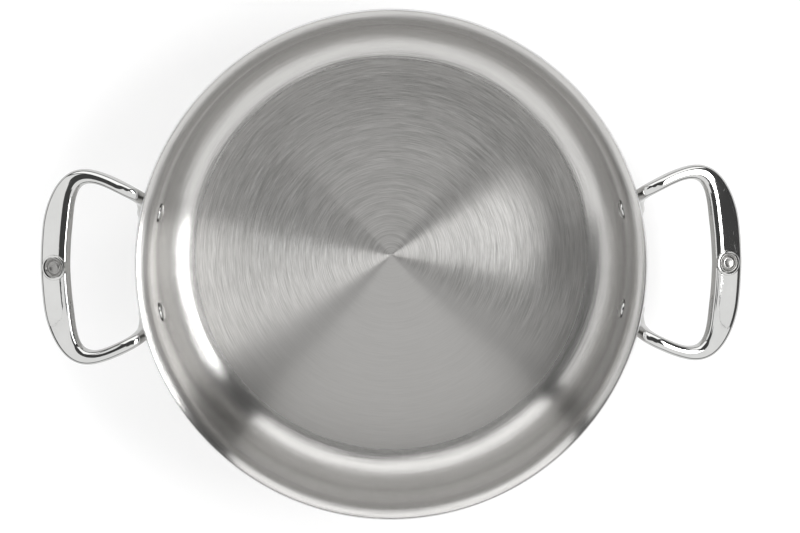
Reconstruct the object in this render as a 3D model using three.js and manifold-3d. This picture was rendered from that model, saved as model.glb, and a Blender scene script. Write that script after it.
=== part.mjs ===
// Two-handled saute pan in clad stainless steel: a drawn body of three bonded plies with a flared
// pouring lip, two cast loop handles, the four solid rivets that hold them and a round inlay in each grip.
// Millimetres, +Z up. The origin is the centre of the base, and the handles lie along X.

import * as THREE from "three";
import { mergeVertices } from "three/addons/utils/BufferGeometryUtils.js";
import Module from "manifold-3d";

const wasm = await Module();
wasm.setup();

const radians = THREE.MathUtils.degToRad;
const { lerp, smoothstep } = THREE.MathUtils;

// Pan body
const INNER_DIAMETER = 280; // between the straight inside walls
const INNER_DEPTH = 80; // cooking floor to the top of the lip
const FLOOR_CORNER = 22; // inside radius where the floor turns up into the wall
const FLARE_RADIUS = 9; // outside radius of the bend that throws the lip outwards
const FLARE_ANGLE = radians(70); // how far the lip turns from upright
const INNER_PLY = 0.5; // cooking surface, stainless steel
const CORE_PLY = 1.7; // aluminium, spreads the heat
const OUTER_PLY = 0.5; // outside, magnetic stainless steel
const BOND_LINE = 0.05; // between two plies

// Rivets
const RIVET_SPACING = 60; // between the two rivets of one handle, across the outside wall
const RIVET_DROP = 39; // below the top of the lip
const SHANK_RADIUS = 2.4;
const INNER_HEAD_RADIUS = 5.8;
const INNER_HEAD_HEIGHT = 2.6;
const OUTER_HEAD_RADIUS = 4.9;
const OUTER_HEAD_HEIGHT = 2;
const DIMPLE_RADIUS = 1.6; // the setting tool's mark in the inner head
const DIMPLE_DEPTH = 0.5;

// Handle feet: round-ended tongues on the wall, leaning outwards as they rise
const FOOT_WIDTH = 21;
const FOOT_END = 10.5; // from the rivet to the foot's round lower end
const FOOT_THICKNESS = 8;
const FOOT_LEAN = radians(18);
const FOOT_SQUARENESS = 4; // 2 is an ellipse, more is squarer
const SPOT_FACE_MARGIN = 0.6; // flat around the outer rivet head

// Handle legs: they leave the wall, rise to a shoulder beside the lip and turn outwards
const SHOULDER_REACH = 15.1; // from the outside wall, along X
const SHOULDER_SPREAD = 94.6; // between the two shoulders
const SHOULDER_DROP = 6; // below the top of the lip
const RISER_PULL = 24; // pull of the foot's direction on the rising curve
const SHOULDER_PULL = 15; // pull of the loop's direction on the rising curve
const LEG_WIDTH = 7.6;
const LEG_THICKNESS = 8.6;
const LEG_SQUARENESS = 2.6;
const FOOT_TO_LEG = 0.6; // share of the riser over which the foot narrows to the leg

// Handle loop: it lies in a plane that falls slightly outwards
const GRIP_REACH = 52.1; // outside wall to the middle line of the grip, along X
const DROOP = radians(15);
const GRIP_ARCH = 3; // how far the middle of the grip stands above the loop's plane
const GRIP_FALL = radians(3.5); // slope from the boss down to each side
const SQUARED_SHARE = 0.92; // from here on the section turns square to the middle plane
const GRIP_LEAN = radians(7); // extra turn of the grip's section, outwards
const LEG_SPLAY = radians(25); // the legs open outwards
const LEG_PULL = 26; // pull of the leg's direction on the loop's curve
const GRIP_PULL = 57.5; // pull of the grip's direction on the loop's curve
const GRIP_WIDTH = 17.6;
const GRIP_THICKNESS = 9.4;
const CROWN_SQUARENESS = 2.8;
const BELLY_SQUARENESS = 3.4;
const CROWN_SHARE = 0.56; // share of the thickness above the middle line
const WIDENING_START = 0.12; // share of the half loop where the leg starts to widen
const WIDENING_END = 0.72;

// Boss and inlay in the grip
const INLAY_RADIUS = 6.1;
const INLAY_THICKNESS = 1.5;
const INLAY_DOME = 0.3;
const INLAY_BEAD = 0.8; // width of the raised border
const INLAY_BEAD_HEIGHT = 0.25;
const INLAY_SETBACK = 0.4; // its border's foot below the rim of the boss
const BOSS_WALL = 1.1; // around the recess
const BOSS_PROUD = 0.6; // above the crown of the grip
const BOSS_SHIFT = 1.2; // from the middle line of the grip towards the pan
const BOSS_EDGE = 0.5;

// Clearances and fineness
const SEAT_GAP = 0.3; // between pieces that seat on each other
const PAN_SEGMENTS = 60;
const PAN_ARC_STEPS = 2; // each bend of the sheet has twice as many facets
const FOOT_END_ANGLES = [80, 62, 38].map(radians); // around the round end, towards the rivet
const RISER_STATIONS = 8;
const LOOP_STATIONS = 12; // along half a loop
const RING_POINTS = 16;
const ROUND_SEGMENTS = 16;

// Sizes that follow from those above
const SHEET = INNER_PLY + BOND_LINE + CORE_PLY + BOND_LINE + OUTER_PLY;
const INNER_RADIUS = INNER_DIAMETER / 2;
const WALL_RADIUS = INNER_RADIUS + SHEET;
const FLOOR_RADIUS = INNER_RADIUS - FLOOR_CORNER;
const LIP_BEND = FLARE_RADIUS + SHEET; // the same bend on the cooking side
const RIM_HEIGHT = SHEET + INNER_DEPTH;
const FLARE_START = RIM_HEIGHT - LIP_BEND * Math.sin(FLARE_ANGLE);
const RIVET_HEIGHT = RIM_HEIGHT - RIVET_DROP;
const RIVET_ANGLE = Math.asin(RIVET_SPACING / 2 / WALL_RADIUS);
const FOOT_FACE = WALL_RADIUS + FOOT_THICKNESS;
const RECESS_RADIUS = INLAY_RADIUS + SEAT_GAP;
const RECESS_DEPTH = SEAT_GAP + INLAY_THICKNESS + INLAY_SETBACK;
const BOSS_RADIUS = RECESS_RADIUS + BOSS_WALL;
const FACET_SAG = 1 - Math.cos(Math.PI / PAN_SEGMENTS);

// Materials
const finish = (color, roughness) => new THREE.MeshStandardMaterial({ color, roughness, metalness: 1 });
const brushedSteel = finish(0xb9b8b5, 0.34);
const satinSteel = finish(0xbdbcb9, 0.28);
const aluminium = finish(0xd2d3d4, 0.42);
const polishedSteel = finish(0xd4d4d3, 0.07);
const rivetSteel = finish(0xc8c8c6, 0.14);
const inlaySteel = finish(0xa9a8a4, 0.3);

// Boolean helpers: a closed three.js geometry to a solid, and a solid back to a named mesh
function solidOf(geometry) {
  const bare = geometry.clone();
  bare.deleteAttribute("normal");
  bare.deleteAttribute("uv");
  const merged = mergeVertices(bare, 1e-4);
  const mesh = new wasm.Mesh({
    numProp: 3,
    vertProperties: new Float32Array(merged.attributes.position.array),
    triVerts: new Uint32Array(merged.index.array),
  });
  return new wasm.Manifold(mesh);
}

function namedMesh(name, solid, material) {
  const { vertProperties, triVerts } = solid.getMesh();
  const geometry = new THREE.BufferGeometry();
  geometry.setAttribute("position", new THREE.BufferAttribute(vertProperties, 3));
  geometry.setIndex(new THREE.BufferAttribute(triVerts, 1));
  const mesh = new THREE.Mesh(geometry, material);
  mesh.name = name;
  return mesh;
}

const point = (radius, height) => new THREE.Vector2(radius, height);

// A closed profile of radius and height, turned about the Z axis
function turned(profile, segments) {
  return new THREE.LatheGeometry(profile, segments).rotateX(Math.PI / 2);
}

// A small turned piece, rolled about its own Z axis, which is then carried to a place and a direction
function turnedAt(profile, place, direction, roll = 0) {
  const upright = new THREE.Vector3(0, 0, 1);
  const turn = new THREE.Quaternion().setFromUnitVectors(upright, direction);
  const piece = turned(profile, ROUND_SEGMENTS).rotateZ(roll).applyQuaternion(turn);
  return solidOf(piece.translate(place.x, place.y, place.z));
}

// Pan body: every ply follows the cooking surface at its own depth in the sheet
function sheetLine(depth) {
  const line = new THREE.Path();
  line.moveTo(0, SHEET - depth);
  line.lineTo(FLOOR_RADIUS, SHEET - depth);
  line.absarc(FLOOR_RADIUS, SHEET + FLOOR_CORNER, FLOOR_CORNER + depth, -Math.PI / 2, 0, false);
  line.absarc(INNER_RADIUS + LIP_BEND, FLARE_START, LIP_BEND - depth, Math.PI, Math.PI - FLARE_ANGLE, true);
  return line.getPoints(PAN_ARC_STEPS);
}

function plySolid(nearDepth, thickness) {
  const cookingSide = sheetLine(nearDepth);
  const outerSide = sheetLine(nearDepth + thickness);
  return solidOf(turned([...outerSide, ...cookingSide.reverse()], PAN_SEGMENTS));
}

// The whole body and the air inside it, grown by a gap
function bodyEnvelope(gap) {
  const outerSide = sheetLine(SHEET + gap);
  const ceiling = RIM_HEIGHT + LIP_BEND;
  const edge = outerSide.at(-1).x;
  return solidOf(turned([...outerSide, point(edge, ceiling), point(0, ceiling)], PAN_SEGMENTS));
}

// Where the rivets of a handle go. side is +1 or -1 along Y
function rivetAxis(side) {
  return new THREE.Vector3(Math.cos(RIVET_ANGLE), side * Math.sin(RIVET_ANGLE), 0);
}

function onRivetAxis(side, radius) {
  return rivetAxis(side).multiplyScalar(radius).setZ(RIVET_HEIGHT);
}

// One rivet of each pair is set half a facet round, so the two aren't mirror images
function rivetRoll(side) {
  return side > 0 ? Math.PI / ROUND_SEGMENTS : 0;
}

// The hole for a shank and, from the foot's face outwards, the flat for the outer head
function rivetHole(side) {
  const start = INNER_RADIUS - INNER_HEAD_RADIUS;
  const face = FOOT_FACE - start;
  const clear = face + FOOT_THICKNESS;
  const bore = SHANK_RADIUS + SEAT_GAP;
  const flat = OUTER_HEAD_RADIUS + SPOT_FACE_MARGIN;
  const profile = [
    point(0, 0),
    point(bore, 0),
    point(bore, face),
    point(flat, face),
    point(flat, clear),
    point(0, clear),
  ];
  return turnedAt(profile, onRivetAxis(side, start), rivetAxis(side), rivetRoll(side));
}

// Rivet: a low dimpled head inside, the shank through wall and foot, a domed head outside
const INNER_SEAT = INNER_RADIUS * (1 - FACET_SAG) - INNER_HEAD_RADIUS ** 2 / INNER_DIAMETER - SEAT_GAP;
const OUTER_SEAT = FOOT_FACE + SEAT_GAP;

function domeArc(radius, base, height, sweep, steps) {
  return Array.from({ length: steps + 1 }, (_, step) => {
    const angle = (sweep * step) / steps;
    return point(radius * Math.cos(angle), base + height * Math.sin(angle));
  });
}

function rivetSolid(side) {
  const length = OUTER_SEAT - INNER_SEAT;
  const dimpleSweep = Math.acos(DIMPLE_RADIUS / INNER_HEAD_RADIUS);
  const innerHead = domeArc(INNER_HEAD_RADIUS, 0, -INNER_HEAD_HEIGHT, dimpleSweep, 4);
  const outerHead = domeArc(OUTER_HEAD_RADIUS, length, OUTER_HEAD_HEIGHT, Math.PI / 2, 5);
  const profile = [
    point(0, DIMPLE_DEPTH - INNER_HEAD_HEIGHT),
    ...innerHead.reverse(),
    point(SHANK_RADIUS, 0),
    point(SHANK_RADIUS, length),
    ...outerHead.slice(0, -1),
    point(0, length + OUTER_HEAD_HEIGHT),
  ];
  return turnedAt(profile, onRivetAxis(side, INNER_SEAT), rivetAxis(side), rivetRoll(side));
}

// Handle: one loft from foot to foot. Half of it is worked out and the other half is its mirror image
const sideways = new THREE.Vector3(0, 1, 0);
const outwards = new THREE.Vector3(Math.cos(DROOP), 0, -Math.sin(DROOP));
const upwards = new THREE.Vector3(Math.sin(DROOP), 0, Math.cos(DROOP));
const footSide = new THREE.Vector3(-Math.sin(RIVET_ANGLE), Math.cos(RIVET_ANGLE), 0);

function blend(from, to, fromShare, toShare) {
  return new THREE.Vector3().addScaledVector(from, fromShare).addScaledVector(to, toShare);
}

const footRise = blend(footSide, new THREE.Vector3(0, 0, 1), Math.sin(FOOT_LEAN), Math.cos(FOOT_LEAN));
const footAcross = footRise.clone().cross(rivetAxis(1));
const legDirection = blend(outwards, sideways, Math.cos(LEG_SPLAY), Math.sin(LEG_SPLAY));
const legAcross = upwards.clone().cross(legDirection).normalize();

const footMiddle = onRivetAxis(1, WALL_RADIUS + FOOT_THICKNESS / 2);
const shoulderHeight = RIM_HEIGHT - SHOULDER_DROP;
const shoulder = new THREE.Vector3(WALL_RADIUS + SHOULDER_REACH, SHOULDER_SPREAD / 2, shoulderHeight);
const gripMiddle = shoulder
  .clone()
  .setY(0)
  .addScaledVector(outwards, (GRIP_REACH - SHOULDER_REACH) / Math.cos(DROOP))
  .addScaledVector(upwards, GRIP_ARCH);

const riserCurve = new THREE.CubicBezierCurve3(
  footMiddle,
  footMiddle.clone().addScaledVector(footRise, RISER_PULL),
  shoulder.clone().addScaledVector(legDirection, -SHOULDER_PULL),
  shoulder,
);
const loopCurve = new THREE.CubicBezierCurve3(
  shoulder,
  shoulder.clone().addScaledVector(legDirection, LEG_PULL),
  gripMiddle
    .clone()
    .addScaledVector(sideways, GRIP_PULL)
    .addScaledVector(upwards, -GRIP_PULL * Math.tan(GRIP_FALL)),
  gripMiddle,
);

// Sections: width, height above and below the middle line, and squareness above and below it
const footSection = {
  width: FOOT_WIDTH,
  crown: FOOT_THICKNESS, // reaches into the wall, which trims it
  belly: FOOT_THICKNESS / 2,
  crownSquareness: FOOT_SQUARENESS,
  bellySquareness: FOOT_SQUARENESS,
};
const legSection = {
  width: LEG_WIDTH,
  crown: LEG_THICKNESS / 2,
  belly: LEG_THICKNESS / 2,
  crownSquareness: LEG_SQUARENESS,
  bellySquareness: LEG_SQUARENESS,
};
const gripSection = {
  width: GRIP_WIDTH,
  crown: GRIP_THICKNESS * CROWN_SHARE,
  belly: GRIP_THICKNESS * (1 - CROWN_SHARE),
  crownSquareness: CROWN_SQUARENESS,
  bellySquareness: BELLY_SQUARENESS,
};

function sectionBetween(from, to, share) {
  return Object.fromEntries(Object.keys(from).map((key) => [key, lerp(from[key], to[key], share)]));
}

const signedPower = (value, power) => Math.sign(value) * Math.abs(value) ** power;

// One closed ring of a section, spread along two directions
function ring(centre, across, rise, section) {
  return Array.from({ length: RING_POINTS }, (_, index) => {
    const angle = (2 * Math.PI * index) / RING_POINTS;
    const upper = Math.sin(angle) >= 0;
    const power = 2 / (upper ? section.crownSquareness : section.bellySquareness);
    const height = upper ? section.crown : section.belly;
    return centre
      .clone()
      .addScaledVector(across, (section.width / 2) * signedPower(Math.cos(angle), power))
      .addScaledVector(rise, height * signedPower(Math.sin(angle), power));
  });
}

// The round lower end of the foot, from its tip up to the rivet
function footEndRing(angle) {
  const centre = footMiddle.clone().addScaledVector(footRise, -FOOT_END * Math.sin(angle));
  const section = { ...footSection, width: FOOT_WIDTH * Math.cos(angle) };
  return ring(centre, footAcross, rivetAxis(1).negate(), section);
}

function riserRing(share) {
  const tangent = riserCurve.getTangentAt(share);
  const across = footAcross.clone().lerp(legAcross, share).projectOnPlane(tangent).normalize();
  const rise = tangent.clone().cross(across);
  const section = sectionBetween(footSection, legSection, smoothstep(share, 0, FOOT_TO_LEG));
  return ring(riserCurve.getPointAt(share), across, rise, section);
}

function loopRing(share) {
  const tangent = loopCurve.getTangentAt(share);
  tangent.lerp(sideways.clone().negate(), smoothstep(share, SQUARED_SHARE, 1)).normalize();
  const lean = GRIP_LEAN * smoothstep(share, 0, 1);
  const across = upwards.clone().cross(tangent).normalize().applyAxisAngle(tangent, -lean);
  const rise = tangent.clone().cross(across);
  const section = sectionBetween(legSection, gripSection, smoothstep(share, WIDENING_START, WIDENING_END));
  return ring(loopCurve.getPointAt(share), across, rise, section);
}

// Skins a row of rings and closes both ends
function loft(rings) {
  const count = rings[0].length;
  const places = rings.flat();
  const faces = [];
  for (let station = 0; station + 1 < rings.length; station++) {
    for (let index = 0; index < count; index++) {
      const next = (index + 1) % count;
      const a = station * count + index;
      const b = station * count + next;
      faces.push(a, b, b + count, a, b + count, a + count);
    }
  }
  const middleOf = (row) => row.reduce((sum, place) => sum.add(place), new THREE.Vector3()).divideScalar(count);
  const last = (rings.length - 1) * count;
  const startMiddle = places.push(middleOf(rings[0])) - 1;
  const endMiddle = places.push(middleOf(rings.at(-1))) - 1;
  for (let index = 0; index < count; index++) {
    const next = (index + 1) % count;
    faces.push(startMiddle, next, index, endMiddle, last + index, last + next);
  }
  const geometry = new THREE.BufferGeometry().setFromPoints(places);
  geometry.setIndex(faces);
  return geometry;
}

const evenly = (count, make) => Array.from({ length: count }, (_, step) => make(step / count));
const mirrored = (row) => row.map((place) => new THREE.Vector3(place.x, -place.y, place.z));

function loopSolid() {
  const half = [
    ...FOOT_END_ANGLES.map(footEndRing),
    ...evenly(RISER_STATIONS, riserRing),
    ...evenly(LOOP_STATIONS, loopRing),
  ];
  return solidOf(loft([...half, loopRing(1), ...half.map(mirrored).reverse()]));
}

// The grip's boss and the inlay in it stand square on the leaning grip
const bossAxis = upwards.clone().applyAxisAngle(sideways, GRIP_LEAN);
const bossTop = gripSection.crown + BOSS_PROUD;
const recessFloor = bossTop - RECESS_DEPTH;
const bossAcross = outwards.clone().applyAxisAngle(sideways, GRIP_LEAN);
const bossMiddle = gripMiddle.clone().addScaledVector(bossAcross, -BOSS_SHIFT);
const onBoss = (profile) => turnedAt(profile, bossMiddle, bossAxis);

function bossSolid() {
  return onBoss([
    point(0, 0),
    point(BOSS_RADIUS, 0),
    point(BOSS_RADIUS, bossTop - BOSS_EDGE),
    point(BOSS_RADIUS - BOSS_EDGE, bossTop),
    point(0, bossTop),
  ]);
}

function recessSolid() {
  const clear = bossTop + BOSS_RADIUS;
  return onBoss([
    point(0, recessFloor),
    point(RECESS_RADIUS, recessFloor),
    point(RECESS_RADIUS, clear),
    point(0, clear),
  ]);
}

function inlaySolid() {
  const floor = recessFloor + SEAT_GAP;
  const face = floor + INLAY_THICKNESS;
  const inside = INLAY_RADIUS - INLAY_BEAD;
  return onBoss([
    point(0, floor),
    point(INLAY_RADIUS, floor),
    point(INLAY_RADIUS, face),
    point(INLAY_RADIUS - INLAY_BEAD / 3, face + INLAY_BEAD_HEIGHT),
    point(inside + INLAY_BEAD / 3, face + INLAY_BEAD_HEIGHT),
    point(inside, face),
    point(inside * 0.6, face + INLAY_DOME * 0.64),
    point(0, face + INLAY_DOME),
  ]);
}

function handleSolid() {
  const cuts = [bodyEnvelope(SEAT_GAP), rivetHole(1), rivetHole(-1), recessSolid()];
  return cuts.reduce((solid, cut) => solid.subtract(cut), loopSolid().add(bossSolid()));
}

// One handle with its rivets and inlay, reaching along +X before its group is turned
function handleGroup(prefix, turn, rivetSides) {
  const group = new THREE.Group();
  group.rotation.z = turn;
  group.add(namedMesh(`${prefix}_handle`, handleSolid(), polishedSteel));
  group.add(namedMesh(`${prefix}_handle_inlay`, inlaySolid(), inlaySteel));
  group.add(namedMesh(`${prefix}_front_rivet`, rivetSolid(rivetSides.front), rivetSteel));
  group.add(namedMesh(`${prefix}_back_rivet`, rivetSolid(rivetSides.back), rivetSteel));
  return group;
}

function pierced(ply) {
  const holes = [rivetHole(1), rivetHole(-1)];
  const opposite = holes.map((hole) => hole.rotate([0, 0, 180]));
  return [...holes, ...opposite].reduce((solid, hole) => solid.subtract(hole), ply);
}

function bodyGroup() {
  const coreDepth = INNER_PLY + BOND_LINE;
  const outerDepth = coreDepth + CORE_PLY + BOND_LINE;
  const group = new THREE.Group();
  group.add(namedMesh("inner_steel_ply", pierced(plySolid(0, INNER_PLY)), brushedSteel));
  group.add(namedMesh("aluminium_core_ply", pierced(plySolid(coreDepth, CORE_PLY)), aluminium));
  group.add(namedMesh("outer_steel_ply", pierced(plySolid(outerDepth, OUTER_PLY)), satinSteel));
  return group;
}

const pan = new THREE.Group();
pan.add(
  bodyGroup(),
  handleGroup("right", 0, { front: -1, back: 1 }),
  handleGroup("left", Math.PI, { front: 1, back: -1 }),
);

export default pan;
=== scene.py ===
import math

import bmesh
import bpy
from mathutils import Matrix, Quaternion, Vector


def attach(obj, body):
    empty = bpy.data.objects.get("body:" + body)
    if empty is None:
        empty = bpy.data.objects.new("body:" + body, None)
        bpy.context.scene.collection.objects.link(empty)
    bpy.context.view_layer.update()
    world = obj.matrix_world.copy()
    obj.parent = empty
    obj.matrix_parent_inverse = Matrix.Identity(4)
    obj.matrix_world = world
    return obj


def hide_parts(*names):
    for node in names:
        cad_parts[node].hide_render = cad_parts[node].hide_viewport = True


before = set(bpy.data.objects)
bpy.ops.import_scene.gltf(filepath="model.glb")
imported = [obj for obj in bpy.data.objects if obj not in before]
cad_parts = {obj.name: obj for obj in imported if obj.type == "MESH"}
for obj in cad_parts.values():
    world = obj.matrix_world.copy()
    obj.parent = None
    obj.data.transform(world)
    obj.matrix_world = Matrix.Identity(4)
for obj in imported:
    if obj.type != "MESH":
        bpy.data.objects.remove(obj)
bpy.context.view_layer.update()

scene = bpy.context.scene
scene.view_settings.view_transform = "Standard"

# Camera
# A long lens looks down into the pan, almost along its axis, from a little towards the back.
# The image is turned by less than half a degree, and the lip fills most of its height.
LENS_MM = 147.5
SENSOR_WIDTH_MM = 36
EYE_DISTANCE = 1.9
EYE_TILT = math.radians(4.9)
IMAGE_TURN = math.radians(0.42)
LIP_MIDDLE = Vector((0, 0, 0.0802))
AIM_OFFSET = Vector((0.00516, -0.00035, 0))


def new_object(name, data):
    made = bpy.data.objects.new(name, data)
    scene.collection.objects.link(made)
    return made


lens = bpy.data.cameras.new("camera")
lens.lens = LENS_MM
lens.sensor_fit = "HORIZONTAL"
lens.sensor_width = SENSOR_WIDTH_MM
towards_eye = Vector((0, math.sin(EYE_TILT), math.cos(EYE_TILT)))
image_right = Vector((1, 0, 0))
looking = Matrix((image_right, towards_eye.cross(image_right), towards_eye)).transposed().to_quaternion()
camera = new_object("camera", lens)
camera.location = LIP_MIDDLE + AIM_OFFSET + towards_eye * EYE_DISTANCE
camera.rotation_mode = "QUATERNION"
camera.rotation_quaternion = looking @ Quaternion((0, 0, 1), -IMAGE_TURN)
scene.camera = camera


# Floor
# A white paper sweep: flat under the pan and bent upwards all round, a few steps away.
# It is white to the eye and in the steel, and takes the pan's soft shadow.
FLOOR_FLAT = 2.5
FLAT_STEPS = 6
FLOOR_BEND = 3.0
BEND_STEPS = 24
SWEEP_SEGMENTS = 96
FLOOR_GAP = 0.0003
WHITE = (1, 1, 1, 1)
PAPER_GLOW = 0.52
GLOW_FADE = (0.6, 1.6)
PAPER_COLOUR = (0.5, 0.5, 0.5, 1)
ON_AXIS = 1e-9


def finished_mesh(name, shape):
    mesh = bpy.data.meshes.new(name)
    shape.to_mesh(mesh)
    shape.free()
    return mesh


def turned_mesh(name, profile, segments):
    """A mesh of a profile of (radius, height), turned about the Z axis."""
    shape = bmesh.new()
    rows = []
    for radius, height in profile:
        if radius < ON_AXIS:
            rows.append([shape.verts.new((0, 0, height))])
            continue
        row = []
        for step in range(segments):
            angle = 2 * math.pi * step / segments
            row.append(shape.verts.new((radius * math.cos(angle), radius * math.sin(angle), height)))
        rows.append(row)
    for low, high in zip(rows, rows[1:]):
        for step in range(segments):
            after = (step + 1) % segments
            if len(low) == 1 and len(high) == 1:
                break
            if len(low) == 1:
                shape.faces.new((low[0], high[after], high[step]))
            elif len(high) == 1:
                shape.faces.new((low[step], low[after], high[0]))
            else:
                shape.faces.new((low[step], low[after], high[after], high[step]))
    return finished_mesh(name, shape)


def new_material(name):
    material = bpy.data.materials.new(name)
    material.use_nodes = True
    material.node_tree.nodes.clear()
    return material


def add_node(tree, kind, inputs=None, **settings):
    """A node with its settings. Each input is linked to a socket or given a value."""
    node = tree.nodes.new(kind)
    for name, value in settings.items():
        setattr(node, name, value)
    for name, value in (inputs or {}).items():
        if isinstance(value, bpy.types.NodeSocket):
            tree.links.new(value, node.inputs[name])
        else:
            node.inputs[name].default_value = value
    return node


def figured(tree, operation, first, second, **settings):
    """A sum, a product or the like of two values."""
    node = add_node(tree, "ShaderNodeMath", {0: first, 1: second}, operation=operation, **settings)
    return node.outputs[0]


def vector_figured(tree, operation, first, second=(0, 0, 0)):
    """A vector made from one or two others, or a number where the operation gives one."""
    node = add_node(tree, "ShaderNodeVectorMath", {0: first, 1: second}, operation=operation)
    return node.outputs["Value" if operation in ("LENGTH", "DOT_PRODUCT") else "Vector"]


def remapped(tree, value, limits=(0, 1), results=(0, 1), curve="LINEAR"):
    """A value taken from between two limits to between two results."""
    inputs = {"Value": value}
    inputs["From Min"], inputs["From Max"] = limits
    inputs["To Min"], inputs["To Max"] = results
    return add_node(tree, "ShaderNodeMapRange", inputs, interpolation_type=curve).outputs[0]


sweep_line = [(FLOOR_FLAT * step / FLAT_STEPS, 0) for step in range(FLAT_STEPS)]
for step in range(BEND_STEPS + 1):
    bend = math.pi / 2 * step / BEND_STEPS
    sweep_line.append((FLOOR_FLAT + FLOOR_BEND * math.sin(bend), FLOOR_BEND * (1 - math.cos(bend))))
sweep = new_object("floor", turned_mesh("floor", sweep_line, SWEEP_SEGMENTS))
sweep.data.shade_smooth()
sweep.location.z = -FLOOR_GAP

paper = new_material("white_paper")
tree = paper.node_tree
seen = add_node(tree, "ShaderNodeLightPath")
by_eye_or_gloss = figured(tree, "ADD", seen.outputs["Is Camera Ray"], seen.outputs["Is Glossy Ray"])
by_any = figured(tree, "ADD", by_eye_or_gloss, seen.outputs["Is Transmission Ray"])
spot = add_node(tree, "ShaderNodeNewGeometry").outputs["Position"]
near_glow = remapped(tree, vector_figured(tree, "LENGTH", spot), GLOW_FADE, (PAPER_GLOW, 0), "SMOOTHSTEP")
glow = figured(tree, "MULTIPLY", by_any, near_glow)
white = add_node(tree, "ShaderNodeEmission", {"Color": WHITE, "Strength": glow})
matt = add_node(tree, "ShaderNodeBsdfDiffuse", {"Color": PAPER_COLOUR})
both = add_node(tree, "ShaderNodeAddShader", {0: white.outputs[0], 1: matt.outputs[0]})
add_node(tree, "ShaderNodeOutputMaterial", {"Surface": both.outputs[0]})
sweep.data.materials.append(paper)


# Light
# A main soft box on the right and lit cloths bent round the pan: a long one behind, a weaker one on the
# left, a wide one in front and a small one beside it. What lies between them stays dim.
MAIN_AZIMUTH = 4.5
MAIN_OFF_AXIS = 37.6
MAIN_DISTANCE = 2.5
MAIN_WIDTH = 1.20
MAIN_HEIGHT = 0.56
MAIN_RADIANCE = 12.4
CLOTH_STEPS = 24
ROOM_COLOUR = (0.09, 0.09, 0.09, 1)


def direction(azimuth, off_axis):
    around = math.radians(azimuth)
    lean = math.radians(off_axis)
    return Vector((math.sin(lean) * math.cos(around), math.sin(lean) * math.sin(around), math.cos(lean)))


def lit_cloth(name, azimuths, off_axes, distance, radiance):
    """A cloth on a frame, bent round the pan between two azimuths and two angles off its axis."""
    shape = bmesh.new()
    rows = []
    for step in range(CLOTH_STEPS + 1):
        off_axis = off_axes[0] + (off_axes[1] - off_axes[0]) * step / CLOTH_STEPS
        row = []
        for column in range(CLOTH_STEPS + 1):
            azimuth = azimuths[0] + (azimuths[1] - azimuths[0]) * column / CLOTH_STEPS
            row.append(shape.verts.new(direction(azimuth, off_axis) * distance))
        rows.append(row)
    for low, high in zip(rows, rows[1:]):
        for column in range(CLOTH_STEPS):
            shape.faces.new((low[column], low[column + 1], high[column + 1], high[column]))
    cloth = new_object(name, finished_mesh(name, shape))
    cloth.visible_camera = False
    lit = new_material("lit_cloth")
    shine = add_node(lit.node_tree, "ShaderNodeEmission", {"Color": WHITE, "Strength": radiance})
    add_node(lit.node_tree, "ShaderNodeOutputMaterial", {"Surface": shine.outputs[0]})
    cloth.data.materials.append(lit)


lamp = bpy.data.lights.new("main_soft_box", "AREA")
lamp.shape = "RECTANGLE"
lamp.size = MAIN_WIDTH
lamp.size_y = MAIN_HEIGHT
lamp.energy = MAIN_RADIANCE * math.pi * MAIN_WIDTH * MAIN_HEIGHT
towards_main = direction(MAIN_AZIMUTH, MAIN_OFF_AXIS)
main_box = new_object("main_soft_box", lamp)
main_box.location = towards_main * MAIN_DISTANCE
main_box.rotation_mode = "QUATERNION"
main_box.rotation_quaternion = (-towards_main).to_track_quat("-Z", "Y")
main_box.visible_camera = False

lit_cloth("back_soft_box", azimuths=(46, 141), off_axes=(29, 73), distance=2.5, radiance=1.85)
lit_cloth("left_soft_box", azimuths=(147, 199), off_axes=(43, 81), distance=2.5, radiance=1.3)
lit_cloth("front_soft_box", azimuths=(199, 339), off_axes=(11, 74), distance=2.4, radiance=1.27)
lit_cloth("right_soft_box", azimuths=(339, 360), off_axes=(38, 64), distance=2.7, radiance=1.27)

room = bpy.data.worlds.new("room")
room.use_nodes = True
room.node_tree.nodes["Background"].inputs["Color"].default_value = ROOM_COLOUR
scene.world = room


# Inner ply
# The cooking surface: half a millimetre of stainless steel, bonded to the core and drawn with it into
# a straight wall and a flared lip. Its floor and wall are brushed in circles on a lathe.
MM = 0.001

# The drawn sheet, in millimetres
INNER_RADIUS = 140.0
INNER_DEPTH = 80.0
FLOOR_CORNER = 22.0
CORNER_RISE = 25.0
LIP_BEND = 11.8
LIP_SWEEP = math.radians(70)
SHEET = 2.8
WALL_RADIUS = INNER_RADIUS + SHEET
RIM_HEIGHT = SHEET + INNER_DEPTH
LIP_START = RIM_HEIGHT - LIP_BEND * math.sin(LIP_SWEEP)
INNER_PLY_DEPTHS = (0.0, 0.5)
EDGE_ROUNDING = 0.14
ROUNDING_INSET = 0.29
FLOOR_STEPS = 8
CORNER_STEPS = 24
WALL_STATIONS = (32, 38, 41, 44, 47, 50, 56, 64)
LIP_STEPS = 16
PAN_SEGMENTS = 180
SHARP_EDGE = math.radians(40)

# The rivet holes
RIVET_HALF_SPACING = 30.0
RIVET_HEIGHT = 43.8
RIVET_ANGLE = math.asin(RIVET_HALF_SPACING / WALL_RADIUS)
HOLE_RADIUS = 2.7
DRILL_START = INNER_RADIUS - 8.0
DRILL_LENGTH = 20.0
DRILL_SEGMENTS = 24
HALF_TURN = Matrix.Rotation(math.pi, 4, "Z")

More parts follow.
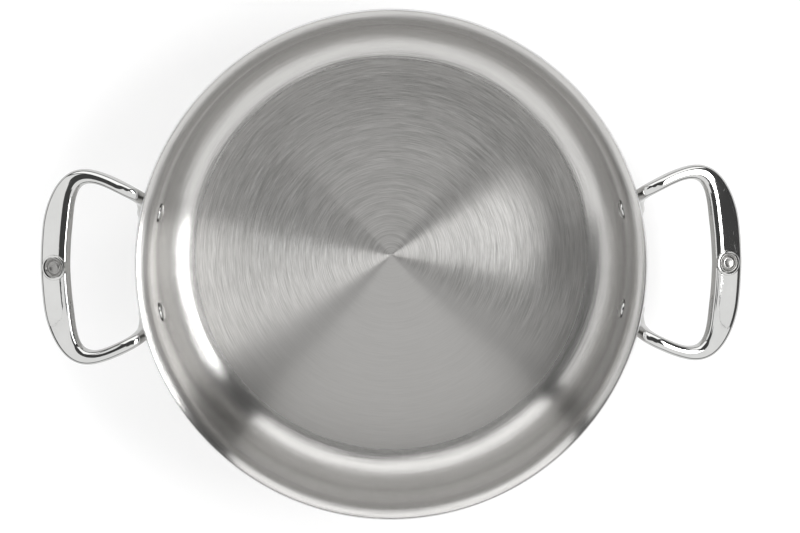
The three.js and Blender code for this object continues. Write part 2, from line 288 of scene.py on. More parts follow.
# The finish. The floor's turns into the wall's between two radii, in metres. A pair of shades or of rings
# goes from dark to light, and a pair for the floor alone from where it is kept to where it is worn. The worn
# front side is rougher with fainter rings, and its colour is also painted lighter, as painted light.
FLATTENING = (1, 1, 0)
FLOOR_EDGE = (0.1172, 0.1186)
WORN_PAINTED_LIGHTER_SIDE = (0, -1, 0)
WORN_PAINTED_LIGHTER_EDGE = (0.38, 0.66)
BROAD_RING_SHARE = 0.26
CRISP_RINGS = (0.38, 0.62)
# Painted light: these rings sit higher, so the worn front of the floor is painted lighter
WORN_RINGS_PAINTED_LIGHTER = (-0.4, 0.6)
FLOOR_SHADES = ((0.40, 0.394, 0.383, 1), (0.56, 0.552, 0.539, 1))
WALL_SHADES = ((0.53, 0.523, 0.511, 1), (0.57, 0.562, 0.549, 1))
FLOOR_ROUGHNESS = (0.31, 0.345)
WALL_ROUGHNESS = 0.225
CLOUDED_ROUGHNESS = (-0.01, 0.01)
FLOOR_GROOVE_LEAN = (0.42, 0.08)
WALL_GROOVE_LEAN = 0.75


def sheet_line(depth):
    """The cooking surface's outline at a depth in the sheet, from the middle of the floor to the lip."""
    floor_radius = INNER_RADIUS - FLOOR_CORNER
    line = [(floor_radius * step / FLOOR_STEPS, SHEET - depth) for step in range(FLOOR_STEPS + 1)]
    for step in range(1, CORNER_STEPS + 1):
        turn = math.pi / 2 * step / CORNER_STEPS
        radius = floor_radius + FLOOR_CORNER * math.sin(turn)
        inside = Vector((radius, SHEET + CORNER_RISE * (1 - math.cos(turn))))
        outwards = Vector((CORNER_RISE * math.sin(turn), -FLOOR_CORNER * math.cos(turn))).normalized()
        line.append(tuple(inside + outwards * depth))
    for height in WALL_STATIONS:
        line.append((INNER_RADIUS + depth, height))
    for step in range(LIP_STEPS + 1):
        turn = LIP_SWEEP * step / LIP_STEPS
        reach = LIP_BEND - depth
        line.append((INNER_RADIUS + LIP_BEND - reach * math.cos(turn), LIP_START + reach * math.sin(turn)))
    return line


def eased_end(line, other):
    """Rounds the corner between a line's end and the cut edge that leads to another line's end."""
    last = Vector(line[-1])
    back = (Vector(line[-2]) - last).normalized()
    across = (Vector(other[-1]) - last).normalized()
    first = last + back * EDGE_ROUNDING
    final = last + across * EDGE_ROUNDING
    middle = last + (back + across) * EDGE_ROUNDING * ROUNDING_INSET
    return line[:-1] + [tuple(first), tuple(middle), tuple(final)]


def ply_profile(near, far):
    cooking_side = sheet_line(near)
    outer_side = sheet_line(far)
    eased_cooking = eased_end(cooking_side, outer_side)
    eased_outer = eased_end(outer_side, cooking_side)
    return eased_outer + eased_cooking[::-1]


def in_metres(profile):
    return [(radius * MM, height * MM) for radius, height in profile]


def turned_object(name, profile, segments, place):
    made = new_object(name, turned_mesh(name, in_metres(profile), segments))
    made.matrix_world = place
    return made


def worked(piece, tools, operation):
    """Cuts or joins a piece with other shapes, which are then done with."""
    for tool in tools:
        step = piece.modifiers.new("work", "BOOLEAN")
        step.operation = operation
        step.solver = "EXACT"
        step.object = tool
    made = piece.evaluated_get(bpy.context.evaluated_depsgraph_get())
    shaped = bpy.data.meshes.new_from_object(made)
    piece.modifiers.clear()
    piece.data = shaped
    for tool in tools:
        bpy.data.objects.remove(tool)


def smoothed(mesh, sharp_edge):
    mesh.shade_smooth()
    mesh.set_sharp_from_angle(angle=sharp_edge)


def rivet_frame(side, radius):
    """Where a rivet's axis leaves a given radius. Its own Z axis points out of the pan."""
    outwards = Vector((math.cos(RIVET_ANGLE), side * math.sin(RIVET_ANGLE), 0))
    place = outwards * radius
    place.z = RIVET_HEIGHT
    across = Vector((0, 0, 1)).cross(outwards)
    turn = Matrix((across, outwards.cross(across), outwards)).transposed().to_4x4()
    return Matrix.Translation(place * MM) @ turn


def rivet_drills():
    drill = [(0, 0), (HOLE_RADIUS, 0), (HOLE_RADIUS, DRILL_LENGTH), (0, DRILL_LENGTH)]
    drills = []
    for side in (1, -1):
        for turn in (Matrix(), HALF_TURN):
            place = turn @ rivet_frame(side, DRILL_START)
            drills.append(turned_object("drill", drill, DRILL_SEGMENTS, place))
    return drills


def ply(name, depths):
    piece = turned_object(name, ply_profile(*depths), PAN_SEGMENTS, Matrix())
    worked(piece, rivet_drills(), "DIFFERENCE")
    smoothed(piece.data, SHARP_EDGE)
    return piece


def new_group(name, inputs, output, output_type="NodeSocketFloat"):
    """A node group with named number inputs and their usual values, and one named output."""
    group = bpy.data.node_groups.new(name, "ShaderNodeTree")
    for label, value in inputs.items():
        socket = group.interface.new_socket(label, in_out="INPUT", socket_type="NodeSocketFloat")
        socket.default_value = value
    group.interface.new_socket(output, in_out="OUTPUT", socket_type=output_type)
    return group, group.nodes.new("NodeGroupInput").outputs, group.nodes.new("NodeGroupOutput").inputs


def placed_group(tree, group, inputs):
    """A node group in a material, with that material's own values."""
    return add_node(tree, "ShaderNodeGroup", inputs, node_tree=group).outputs[0]


def blended(tree, share, first, second):
    """A value between two others."""
    return add_node(tree, "ShaderNodeMix", {"Factor": share, "A": first, "B": second}).outputs[0]


def shaded(tree, share, first, second):
    """A colour between two others. The Mix node's colour sockets are known by their numbers."""
    return add_node(tree, "ShaderNodeMix", {0: share, 6: first, 7: second}, data_type="RGBA").outputs[2]


def metal_surface(tree, inputs):
    """The metal of a material, with what its other nodes put into it."""
    metal = add_node(tree, "ShaderNodeBsdfPrincipled", {"Metallic": 1.0, **inputs})
    add_node(tree, "ShaderNodeOutputMaterial", {"Surface": metal.outputs[0]})


# Lines of a brush or a turning tool, round a piece's own Z axis
turning, taken, given = new_group(
    "turning_lines",
    {"Lines per Metre": 900, "Breaks per Metre": 20, "Fineness": 3},
    "Lines",
)
place = add_node(turning, "ShaderNodeTexCoord").outputs["Object"]
apart = add_node(turning, "ShaderNodeSeparateXYZ", {0: place}).outputs
flat = add_node(turning, "ShaderNodeCombineXYZ", {"X": apart["X"], "Y": apart["Y"]}).outputs[0]
breaks = {0: flat, "Scale": taken["Breaks per Metre"]}
run = add_node(turning, "ShaderNodeVectorMath", breaks, operation="SCALE").outputs[0]
out_and_up = figured(turning, "ADD", vector_figured(turning, "LENGTH", flat), apart["Z"])
count = figured(turning, "MULTIPLY", out_and_up, taken["Lines per Metre"])
rise = add_node(turning, "ShaderNodeCombineXYZ", {"Z": count}).outputs[0]
where = vector_figured(turning, "ADD", run, rise)
lines = add_node(
    turning,
    "ShaderNodeTexNoise",
    {"Vector": where, "Scale": 1.0, "Detail": taken["Fineness"], "Roughness": 0.65},
)
turning.links.new(lines.outputs[0], given["Lines"])

# The lean of each groove of a brushed finish, up or down across the way it runs round the Z axis
grooving, taken, given = new_group("groove_lean", {"Lines": 0.5, "Lean": 0.5}, "Normal", "NodeSocketVector")
upright = add_node(grooving, "ShaderNodeNewGeometry").outputs["Normal"]
along = add_node(grooving, "ShaderNodeTangent", direction_type="RADIAL", axis="Z").outputs[0]
across = vector_figured(grooving, "CROSS_PRODUCT", along, upright)
centred = figured(grooving, "SUBTRACT", taken["Lines"], 0.5)
lean = figured(grooving, "MULTIPLY", centred, taken["Lean"])
aside = add_node(grooving, "ShaderNodeVectorMath", {0: across, "Scale": lean}, operation="SCALE").outputs[0]
leaning = vector_figured(grooving, "ADD", upright, aside)
grooving.links.new(vector_figured(grooving, "NORMALIZE", leaning), given["Normal"])

# Soft clouds in a finish, as left by polishing and wiping
clouding, taken, given = new_group("clouding", {"Size": 0.05, "Contrast": 1.6}, "Clouds")
place = add_node(clouding, "ShaderNodeTexCoord").outputs["Object"]
finer = figured(clouding, "DIVIDE", 1.0, taken["Size"])
clouds = add_node(
    clouding,
    "ShaderNodeTexNoise",
    {"Vector": place, "Scale": finer, "Detail": 4, "Roughness": 0.55},
)
centred = figured(clouding, "SUBTRACT", clouds.outputs[0], 0.5)
spread = figured(clouding, "MULTIPLY", centred, taken["Contrast"])
clouding.links.new(figured(clouding, "ADD", spread, 0.5, use_clamp=True), given["Clouds"])

# Fine straight hairlines from handling and washing up
HAIRLINE_SLANT = (0.5, 0.9, 0.35)
HAIRLINE_NARROWING = (40, 1, 1)
HAIRLINE_EDGE = (0.68, 0.76)
marking, taken, given = new_group("hairline_marks", {"Length": 0.02, "Amount": 0.4}, "Marks")
place = add_node(marking, "ShaderNodeTexCoord").outputs["Object"]
slanted = add_node(marking, "ShaderNodeMapping", {"Vector": place, "Rotation": HAIRLINE_SLANT}).outputs[0]
narrowed = vector_figured(marking, "MULTIPLY", slanted, HAIRLINE_NARROWING)
finer = figured(marking, "DIVIDE", 1.0, taken["Length"])
streaks = add_node(marking, "ShaderNodeTexNoise", {"Vector": narrowed, "Scale": finer, "Detail": 1})
thin = remapped(marking, streaks.outputs[0], HAIRLINE_EDGE)
marking.links.new(figured(marking, "MULTIPLY", thin, taken["Amount"]), given["Marks"])

brushed = new_material("brushed_cooking_steel")
tree = brushed.node_tree

# Where the floor ends, and the front side of it that is worn smooth and painted lighter as painted light
spot = add_node(tree, "ShaderNodeTexCoord").outputs["Object"]
level = vector_figured(tree, "MULTIPLY", spot, FLATTENING)
off_floor = remapped(tree, vector_figured(tree, "LENGTH", level), FLOOR_EDGE, curve="SMOOTHSTEP")
heading = vector_figured(tree, "NORMALIZE", level)
nearness = vector_figured(tree, "DOT_PRODUCT", heading, WORN_PAINTED_LIGHTER_SIDE)
worn_painted_lighter = remapped(tree, nearness, WORN_PAINTED_LIGHTER_EDGE, curve="SMOOTHSTEP")

# The colour of the brushed rings, painted lighter on the worn front side as painted light
fine_rings = placed_group(tree, turning, {"Lines per Metre": 1600, "Breaks per Metre": 55, "Fineness": 3})
broad_rings = placed_group(tree, turning, {"Lines per Metre": 300, "Breaks per Metre": 14, "Fineness": 3})
both_rings = blended(tree, BROAD_RING_SHARE, fine_rings, broad_rings)
crisp_rings = remapped(tree, both_rings, CRISP_RINGS)
# Painted light: on the worn front side the rings are shifted up into the lighter shades
worn_rings_painted_lighter = remapped(tree, both_rings, WORN_RINGS_PAINTED_LIGHTER)
rings = blended(tree, worn_painted_lighter, crisp_rings, worn_rings_painted_lighter)
floor_shade = shaded(tree, rings, *FLOOR_SHADES)
wall_shade = shaded(tree, rings, *WALL_SHADES)
shade = shaded(tree, off_floor, floor_shade, wall_shade)

# Their gloss, and the lean of their grooves
cloud = placed_group(tree, clouding, {"Size": 0.06, "Contrast": 1.6})
clouded = remapped(tree, cloud, results=CLOUDED_ROUGHNESS)
floor_finish = remapped(tree, worn_painted_lighter, results=FLOOR_ROUGHNESS)
finish = blended(tree, off_floor, floor_finish, WALL_ROUGHNESS)
floor_grooves = placed_group(tree, turning, {"Lines per Metre": 1900, "Breaks per Metre": 90, "Fineness": 2})
wall_grooves = placed_group(tree, turning, {"Lines per Metre": 5000, "Breaks per Metre": 23, "Fineness": 2})
groove_lines = blended(tree, off_floor, floor_grooves, wall_grooves)
floor_lean = remapped(tree, worn_painted_lighter, results=FLOOR_GROOVE_LEAN)
groove_lean = blended(tree, off_floor, floor_lean, WALL_GROOVE_LEAN)
along = add_node(tree, "ShaderNodeTangent", direction_type="RADIAL", axis="Z")
metal_surface(
    tree,
    {
        "Base Color": shade,
        "Roughness": figured(tree, "ADD", clouded, finish),
        "Anisotropic": 1.0,
        "Anisotropic Rotation": 0.25,
        "Normal": placed_group(tree, grooving, {"Lines": groove_lines, "Lean": groove_lean}),
        "Tangent": along.outputs[0],
    },
)

inner_ply = ply("pan_inner_ply", INNER_PLY_DEPTHS)
inner_ply.data.materials.append(brushed)
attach(inner_ply, "root")
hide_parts("inner_steel_ply")


# Core ply
# The aluminium between the two steel plies, which spreads the heat. It is bonded to both by rolling,
# so all that shows of it is the thin bright line in the cut edge of the lip.
CORE_PLY_DEPTHS = (0.55, 2.25)
CORE_SHADES = ((0.72, 0.725, 0.73, 1), (0.84, 0.845, 0.85, 1))
CORE_ROUGHNESS = (0.34, 0.5)


def turned_metal(name, shades, roughness, rings, clouds, relief):
    """A plain turned finish: clouds in its colour, and rings in its gloss and its relief."""
    material = new_material(name)
    tree = material.node_tree
    lines = placed_group(tree, turning, rings)
    cloud = placed_group(tree, clouding, clouds)
    bump = add_node(tree, "ShaderNodeBump", {"Height": lines, **relief})
    metal_surface(
        tree,
        {
            "Base Color": shaded(tree, cloud, *shades),
            "Roughness": remapped(tree, lines, results=roughness),
            "Normal": bump.outputs[0],
        },
    )
    return material


cut_aluminium = turned_metal(
    "cut_aluminium",
    CORE_SHADES,
    CORE_ROUGHNESS,
    rings={"Lines per Metre": 9000, "Breaks per Metre": 27, "Fineness": 3},
    clouds={"Size": 0.02, "Contrast": 1.4},
    relief={"Strength": 0.1, "Distance": 0.0001},
)

core_ply = ply("pan_core_ply", CORE_PLY_DEPTHS)
core_ply.data.materials.append(cut_aluminium)
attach(core_ply, "root")
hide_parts("aluminium_core_ply")


# Outer ply
# The outside and the base: stainless steel, drawn with the other plies in one sheet. The wall has a
# satin finish with lines round the pan, and the flat base shows the rings of the same wheel.
OUTER_PLY_DEPTHS = (2.3, 2.8)
OUTSIDE_SHADES = ((0.52, 0.513, 0.502, 1), (0.65, 0.642, 0.63, 1))
OUTSIDE_RINGS = (0.36, 0.64)
OUTSIDE_ROUGHNESS = (0.27, 0.34)

satin = new_material("satin_outside_steel")
tree = satin.node_tree
rings = placed_group(tree, turning, {"Lines per Metre": 1500, "Breaks per Metre": 25, "Fineness": 4})
cloud = placed_group(tree, clouding, {"Size": 0.05, "Contrast": 1.5})
scratch = placed_group(tree, marking, {"Length": 0.02, "Amount": 0.12})
clouded = remapped(tree, cloud, results=OUTSIDE_ROUGHNESS)
relief = add_node(tree, "ShaderNodeBump", {"Strength": 0.05, "Distance": 0.0002, "Height": rings})
along = add_node(tree, "ShaderNodeTangent", direction_type="RADIAL", axis="Z")
metal_surface(
    tree,
    {
        "Base Color": shaded(tree, remapped(tree, rings, OUTSIDE_RINGS), *OUTSIDE_SHADES),
        "Roughness": figured(tree, "ADD", clouded, scratch),
        "Anisotropic": 0.6,
        "Anisotropic Rotation": 0.25,
        "Normal": relief.outputs[0],
        "Tangent": along.outputs[0],
    },
)

outer_ply = ply("pan_outer_ply", OUTER_PLY_DEPTHS)
outer_ply.data.materials.append(satin)
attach(outer_ply, "root")
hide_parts("outer_steel_ply")


# Handles
# Two cast stainless steel loops, polished to a mirror. Each has two flat feet that follow the wall,
# legs that rise beside it and a wide drooping grip with a round boss. Two rivets hold each one.

# The sections and the middle line of the loop
FOOT = {"width": 21.0, "crown": 8.0, "belly": 4.0, "crown_squareness": 4.0, "belly_squareness": 4.0}
LEG = {"width": 7.6, "crown": 4.3, "belly": 4.3, "crown_squareness": 2.6, "belly_squareness": 2.6}
GRIP = {"width": 17.3, "crown": 5.264, "belly": 4.136, "crown_squareness": 4.2, "belly_squareness": 3.4}
FOOT_END = 10.5
FOOT_END_TURN = math.radians(88)
FOOT_LEAN = math.radians(18)
FOOT_THICKNESS = 8.0
FOOT_TO_LEG = 0.6
SHOULDER_REACH = 15.1
SHOULDER_SPREAD = 94.6
SHOULDER_DROP = 6.0
SHOULDER_PULL = 15.0
RISER_PULL = 24.0
LEG_SPLAY = math.radians(25)
LEG_PULL = 26.0
WIDENING = (0.12, 0.72)
GRIP_REACH = 51.75
GRIP_ARCH = 3.0
GRIP_FALL = math.radians(3.5)
GRIP_LEAN = math.radians(7)
GRIP_PULL = 57.5
LEANED_SHARE = 0.45
SQUARED_SHARE = 0.92
DROOP = math.radians(15)
RING_POINTS = 72
FOOT_END_STATIONS = 12
RISER_STATIONS = 36
LOOP_STATIONS = 64
MEASURING_STEPS = 600

# The seats on the wall, the boss and the finish
SEAT_GAP = 0.12
BODY_ROOM_RADIUS = 165.0
BODY_ROOM_HEIGHT = 95.0
OUTER_HEAD_RADIUS = 4.9
SPOT_FACE_RADIUS = OUTER_HEAD_RADIUS + 0.6
SPOT_FACE_TOP = FOOT_THICKNESS + 8.0
FOOT_DRILL_START = -10.0
FOOT_DRILL_SEGMENTS = 48
BOSS_RADIUS = 7.5
BOSS_PROUD = 0.6
BOSS_SHIFT = 1.2
BOSS_EDGE = 0.5
BOSS_EDGE_INSET = 0.15
BOSS_SEGMENTS = 96
RECESS_RADIUS = 6.4
RECESS_DEPTH = 2.2
RECESS_CUT_RISE = 6.0
HANDLE_SHARP_EDGE = math.radians(35)
HANDLE_SHADES = ((0.50, 0.50, 0.492, 1), (0.56, 0.56, 0.552, 1))
HANDLE_ROUGHNESS = (0.03, 0.06)

# The ways the foot, the leg and the grip point
SIDEWAYS = Vector((0, 1, 0))
UPRIGHT = Vector((0, 0, 1))
OUTWARDS = Vector((math.cos(DROOP), 0, -math.sin(DROOP)))
UPWARDS = Vector((math.sin(DROOP), 0, math.cos(DROOP)))
RIVET_OUT = Vector((math.cos(RIVET_ANGLE), math.sin(RIVET_ANGLE), 0))
FOOT_SIDE = Vector((-math.sin(RIVET_ANGLE), math.cos(RIVET_ANGLE), 0))
FOOT_RISE = FOOT_SIDE * math.sin(FOOT_LEAN) + UPRIGHT * math.cos(FOOT_LEAN)
FOOT_ACROSS = FOOT_RISE.cross(RIVET_OUT)
LEG_DIRECTION = OUTWARDS * math.cos(LEG_SPLAY) + SIDEWAYS * math.sin(LEG_SPLAY)
LEG_ACROSS = UPWARDS.cross(LEG_DIRECTION).normalized()

foot_middle = RIVET_OUT * (WALL_RADIUS + FOOT_THICKNESS / 2)
foot_middle.z = RIVET_HEIGHT
shoulder = Vector((WALL_RADIUS + SHOULDER_REACH, SHOULDER_SPREAD / 2, RIM_HEIGHT - SHOULDER_DROP))
grip_middle = Vector((shoulder.x, 0, shoulder.z))
grip_middle += OUTWARDS * (GRIP_REACH - SHOULDER_REACH) / math.cos(DROOP) + UPWARDS * GRIP_ARCH

riser_bend = (
    foot_middle,
    foot_middle + FOOT_RISE * RISER_PULL,
    shoulder - LEG_DIRECTION * SHOULDER_PULL,
    shoulder,
)
loop_bend = (
    shoulder,
    shoulder + LEG_DIRECTION * LEG_PULL,
    grip_middle + SIDEWAYS * GRIP_PULL - UPWARDS * GRIP_PULL * math.tan(GRIP_FALL),
    grip_middle,
)


def on_bend(bend, t):
    """A point on a bent middle line, and the way it runs there."""
    a, b, c, d = bend
    s = 1 - t
    point = a * s**3 + b * 3 * s * s * t + c * 3 * s * t * t + d * t**3
    run = (b - a) * s * s + (c - b) * 2 * s * t + (d - c) * t * t
    return point, run.normalized()


def along_bend(bend, shares):
    """Points and directions at shares of a bend's length."""
    lengths = [0.0]
    for step in range(MEASURING_STEPS):
        gap = on_bend(bend, (step + 1) / MEASURING_STEPS)[0] - on_bend(bend, step / MEASURING_STEPS)[0]
        lengths.append(lengths[-1] + gap.length)
    places = []
    step = 0
    for share in shares:
        goal = share * lengths[-1]
        while step < MEASURING_STEPS - 1 and lengths[step + 1] < goal:
            step += 1
        part = (goal - lengths[step]) / (lengths[step + 1] - lengths[step])
        places.append(on_bend(bend, (step + part) / MEASURING_STEPS))
    return places


def eased(value, start, end):
    share = min(max((value - start) / (end - start), 0.0), 1.0)
    return share * share * (3 - 2 * share)


def section_between(first, second, share):
    return {key: first[key] + (second[key] - first[key]) * share for key in first}


def section_ring(centre, across, rise, section):
    """Points of a rounded section: crown above its middle line, belly below it."""
    points = []
    for index in range(RING_POINTS):
        angle = 2 * math.pi * index / RING_POINTS
        part = "crown" if index <= RING_POINTS // 2 else "belly"
        squareness = section[part + "_squareness"]
        sideways = math.cos(angle)
        up = math.sin(angle)
        size = (abs(sideways) ** squareness + abs(up) ** squareness) ** (-1 / squareness)
        width = section["width"] / 2 * sideways * size
        points.append(centre + across * width + rise * (section[part] * up * size))
    return points


def half_loop():
    """Rings from the foot's round end up to the middle of the grip."""
    rings = []
    for station in range(FOOT_END_STATIONS):
        angle = FOOT_END_TURN * (1 - station / FOOT_END_STATIONS)
        section = dict(FOOT, width=FOOT["width"] * math.cos(angle))
        centre = foot_middle - FOOT_RISE * FOOT_END * math.sin(angle)
        rings.append(section_ring(centre, FOOT_ACROSS, -RIVET_OUT, section))
    shares = [station / RISER_STATIONS for station in range(RISER_STATIONS)]
    for share, (centre, run) in zip(shares, along_bend(riser_bend, shares)):
        across = FOOT_ACROSS.lerp(LEG_ACROSS, share)
        across = (across - run * across.dot(run)).normalized()
        section = section_between(FOOT, LEG, eased(share, 0, FOOT_TO_LEG))
        rings.append(section_ring(centre, across, run.cross(across), section))
    shares = [station / LOOP_STATIONS for station in range(LOOP_STATIONS + 1)]
    for share, (centre, run) in zip(shares, along_bend(loop_bend, shares)):
        run = run.lerp(-SIDEWAYS, eased(share, SQUARED_SHARE, 1)).normalized()
        lean = Quaternion(run, -GRIP_LEAN * eased(share, 0, LEANED_SHARE))
        across = lean @ UPWARDS.cross(run).normalized()
        section = section_between(LEG, GRIP, eased(share, *WIDENING))
        rings.append(section_ring(centre, across, run.cross(across), section))
    return rings


def skinned(name, rings):
    """A closed skin over a row of rings."""
    shape = bmesh.new()
    rows = [[shape.verts.new(point * MM) for point in row] for row in rings]
    for low, high in zip(rows, rows[1:]):
        for index in range(RING_POINTS):
            after = (index + 1) % RING_POINTS
            shape.faces.new((low[index], low[after], high[after], high[index]))
    shape.faces.new(rows[0][::-1])
    shape.faces.new(rows[-1])
    return new_object(name, finished_mesh(name, shape))


near_half = half_loop()
far_half = [[Vector((point.x, -point.y, point.z)) for point in row] for row in near_half[-2::-1]]
right_handle = skinned("right_loop_handle", near_half + far_half)

boss_lean = Matrix.Rotation(DROOP + GRIP_LEAN, 4, "Y")
boss_shift = Matrix.Translation((-BOSS_SHIFT * MM, 0, 0))
boss_frame = Matrix.Translation(grip_middle * MM) @ boss_lean @ boss_shift
boss_top = GRIP["crown"] + BOSS_PROUD
boss_line = [
    (0, 0),
    (BOSS_RADIUS, 0),
    (BOSS_RADIUS, boss_top - BOSS_EDGE),
    (BOSS_RADIUS - BOSS_EDGE_INSET, boss_top - BOSS_EDGE_INSET),
    (BOSS_RADIUS - BOSS_EDGE, boss_top),
    (0, boss_top),
]
worked(right_handle, [turned_object("boss", boss_line, BOSS_SEGMENTS, boss_frame)], "UNION")

body_line = sheet_line(SHEET + SEAT_GAP)
body_line += [(BODY_ROOM_RADIUS, BODY_ROOM_HEIGHT), (0, BODY_ROOM_HEIGHT)]
recess_floor = boss_top - RECESS_DEPTH
recess_line = [
    (0, recess_floor),
    (RECESS_RADIUS, recess_floor),
    (RECESS_RADIUS, boss_top + RECESS_CUT_RISE),
    (0, boss_top + RECESS_CUT_RISE),
]
drill_line = [
    (0, FOOT_DRILL_START),
    (HOLE_RADIUS, FOOT_DRILL_START),
    (HOLE_RADIUS, FOOT_THICKNESS),
    (SPOT_FACE_RADIUS, FOOT_THICKNESS),
    (SPOT_FACE_RADIUS, SPOT_FACE_TOP),
    (0, SPOT_FACE_TOP),
]
cutters = [
    turned_object("body_room", body_line, PAN_SEGMENTS, Matrix()),
    turned_object("recess", recess_line, BOSS_SEGMENTS, boss_frame),
    turned_object("drill", drill_line, FOOT_DRILL_SEGMENTS, rivet_frame(1, WALL_RADIUS)),
    turned_object("drill", drill_line, FOOT_DRILL_SEGMENTS, rivet_frame(-1, WALL_RADIUS)),
]
worked(right_handle, cutters, "DIFFERENCE")
smoothed(right_handle.data, HANDLE_SHARP_EDGE)

polished = new_material("mirror_polished_steel")
tree = polished.node_tree
cloud = placed_group(tree, clouding, {"Size": 0.012, "Contrast": 1.5})
scratch = placed_group(tree, marking, {"Length": 0.008, "Amount": 0.15})
clouded = remapped(tree, cloud, results=HANDLE_ROUGHNESS)
relief = add_node(tree, "ShaderNodeBump", {"Strength": 0.02, "Distance": 0.001, "Height": cloud})
metal_surface(
    tree,
    {
        "Base Color": shaded(tree, cloud, *HANDLE_SHADES),
        "Roughness": figured(tree, "ADD", clouded, scratch),
        "Normal": relief.outputs[0],
    },
)
right_handle.data.materials.append(polished)

left_handle = new_object("left_loop_handle", right_handle.data)
left_handle.matrix_world = HALF_TURN
for handle, node in ((right_handle, "right_handle"), (left_handle, "left_handle")):
    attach(handle, "root")
    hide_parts(node)


# Inlays
# A plain round steel button, turned with a border bead, a groove and a shallow dish in the middle, is
# pressed into the recess of each boss. It is left satin, and duller than the grip round it.
INLAY_RADIUS = 5.8
INLAY_THICKNESS = 1.5
INLAY_SEAT_GAP = 0.3
INLAY_CHAMFER = 0.2
INLAY_CROWN = 0.3
BEAD_FOOT = 0.1
BEAD_WIDTH = 1.1
BEAD_HEIGHT = 0.4
BEAD_STEPS = 12
GROOVE_WIDTH = 0.8
GROOVE_DEPTH = 0.35
GROOVE_STEPS = 8
CROWN_STEPS = 5
DISH_RADIUS = 2.7
DISH_DEPTH = 0.35
DISH_STEPS = 8
INLAY_SEGMENTS = 72
INLAY_SHADES = ((0.24, 0.237, 0.231, 1), (0.35, 0.346, 0.337, 1))
INLAY_ROUGHNESS = (0.23, 0.33)

inlay_floor = recess_floor + INLAY_SEAT_GAP
inlay_face = inlay_floor + INLAY_THICKNESS
groove_outside = INLAY_RADIUS - BEAD_WIDTH
groove_inside = groove_outside - GROOVE_WIDTH
inlay_line = [
    (0, inlay_floor),
    (INLAY_RADIUS - INLAY_CHAMFER, inlay_floor),
    (INLAY_RADIUS, inlay_floor + INLAY_CHAMFER),
    (INLAY_RADIUS, inlay_face - BEAD_FOOT),
]
for step in range(BEAD_STEPS + 1):
    turn = math.pi * step / BEAD_STEPS
    across = INLAY_RADIUS - BEAD_WIDTH / 2 + BEAD_WIDTH / 2 * math.cos(turn)
    inlay_line.append((across, inlay_face + BEAD_HEIGHT * math.sin(turn)))
for step in range(1, GROOVE_STEPS + 1):
    turn = math.pi * step / GROOVE_STEPS
    across = groove_outside - GROOVE_WIDTH * step / GROOVE_STEPS
    inlay_line.append((across, inlay_face - GROOVE_DEPTH * math.sin(turn)))
for step in range(1, CROWN_STEPS + 1):
    turn = math.pi / 2 * step / CROWN_STEPS
    across = groove_inside - (groove_inside - DISH_RADIUS) * step / CROWN_STEPS
    inlay_line.append((across, inlay_face + INLAY_CROWN * math.sin(turn)))
for step in range(1, DISH_STEPS + 1):
    share = 1 - step / DISH_STEPS
    inlay_line.append((DISH_RADIUS * share, inlay_face + INLAY_CROWN - DISH_DEPTH * (1 - share * share)))

satin_disc = turned_metal(
    "satin_disc_steel",
    INLAY_SHADES,
    INLAY_ROUGHNESS,
    rings={"Lines per Metre": 6000, "Breaks per Metre": 400, "Fineness": 3},
    clouds={"Size": 0.004, "Contrast": 1.6},
    relief={"Strength": 0.1, "Distance": 0.0002},
)

inlay_mesh = turned_mesh("inlay", in_metres(inlay_line), INLAY_SEGMENTS)
smoothed(inlay_mesh, SHARP_EDGE)
inlay_mesh.materials.append(satin_disc)
for prefix, turn in (("right", Matrix()), ("left", HALF_TURN)):
    inlay = new_object(prefix + "_inlay", inlay_mesh)
    inlay.matrix_world = turn @ boss_frame
    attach(inlay, "root")
    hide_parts(prefix + "_handle_inlay")


# Rivets
# Four solid steel rivets, two for each handle. Each has a low polished head inside, with the small
# dimple of the setting punch, a shank through the sheet and the foot, and a domed head outside.
SHANK_RADIUS = 2.4
INNER_HEAD_RADIUS = 5.8
INNER_HEAD_HEIGHT = 2.6
INNER_HEAD_GAP = 0.2
OUTER_HEAD_HEIGHT = 2.0
OUTER_HEAD_GAP = 0.02
HEAD_STEPS = 12
DIMPLE_RADIUS = 1.6
DIMPLE_DEPTH = 0.5
DIMPLE_RIM_SHARE = 0.96
DIMPLE_STEPS = 5
RIVET_SEGMENTS = 56
RIVET_SHADES = ((0.50, 0.498, 0.49, 1), (0.58, 0.578, 0.57, 1))
RIVET_ROUGHNESS = (0.04, 0.1)

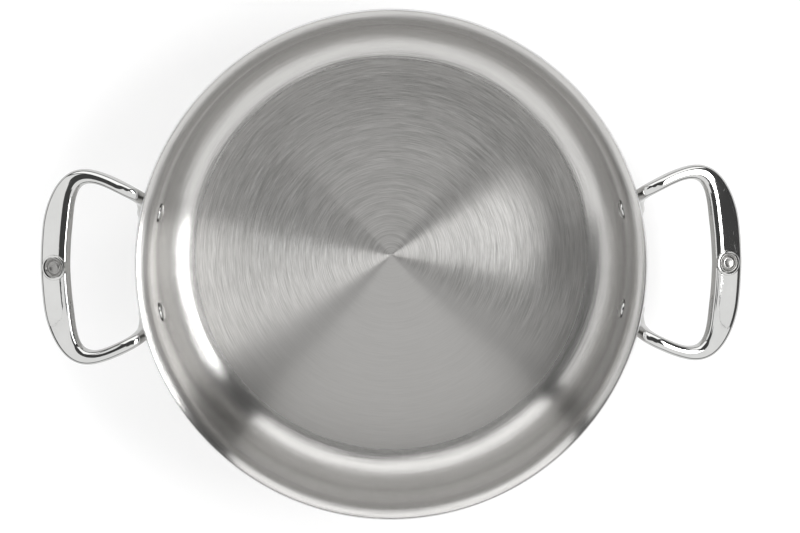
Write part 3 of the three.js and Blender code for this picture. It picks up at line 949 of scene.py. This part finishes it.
inner_seat = INNER_RADIUS - INNER_HEAD_RADIUS**2 / (2 * INNER_RADIUS) - INNER_HEAD_GAP
outer_seat = WALL_RADIUS + FOOT_THICKNESS + OUTER_HEAD_GAP
rivet_length = outer_seat - inner_seat

rivet_line = []
for step in range(DIMPLE_STEPS + 1):
    share = step / DIMPLE_STEPS
    dip = DIMPLE_DEPTH * (1 - share * share)
    rivet_line.append((DIMPLE_RADIUS * share, -INNER_HEAD_HEIGHT * DIMPLE_RIM_SHARE + dip))
dimple_edge = math.acos(DIMPLE_RADIUS / INNER_HEAD_RADIUS)
for step in range(HEAD_STEPS + 1):
    turn = dimple_edge * (1 - step / HEAD_STEPS)
    rivet_line.append((INNER_HEAD_RADIUS * math.cos(turn), -INNER_HEAD_HEIGHT * math.sin(turn)))
rivet_line += [(SHANK_RADIUS, 0), (SHANK_RADIUS, rivet_length)]
for step in range(HEAD_STEPS):
    turn = math.pi / 2 * step / HEAD_STEPS
    across = OUTER_HEAD_RADIUS * math.cos(turn)
    rivet_line.append((across, rivet_length + OUTER_HEAD_HEIGHT * math.sin(turn)))
rivet_line.append((0, rivet_length + OUTER_HEAD_HEIGHT))

bright_rivet = turned_metal(
    "bright_rivet_steel",
    RIVET_SHADES,
    RIVET_ROUGHNESS,
    rings={"Lines per Metre": 5000, "Breaks per Metre": 400, "Fineness": 2},
    clouds={"Size": 0.004, "Contrast": 1.6},
    relief={"Strength": 0.05, "Distance": 0.0002},
)

rivet_mesh = turned_mesh("rivet", in_metres(rivet_line), RIVET_SEGMENTS)
smoothed(rivet_mesh, SHARP_EDGE)
rivet_mesh.materials.append(bright_rivet)
rivet_places = {
    "right_front_rivet": (Matrix(), -1),
    "right_back_rivet": (Matrix(), 1),
    "left_front_rivet": (HALF_TURN, 1),
    "left_back_rivet": (HALF_TURN, -1),
}
for node, (turn, side) in rivet_places.items():
    rivet = new_object(node + "_set", rivet_mesh)
    rivet.matrix_world = turn @ rivet_frame(side, inner_seat)
    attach(rivet, "root")
    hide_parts(node)
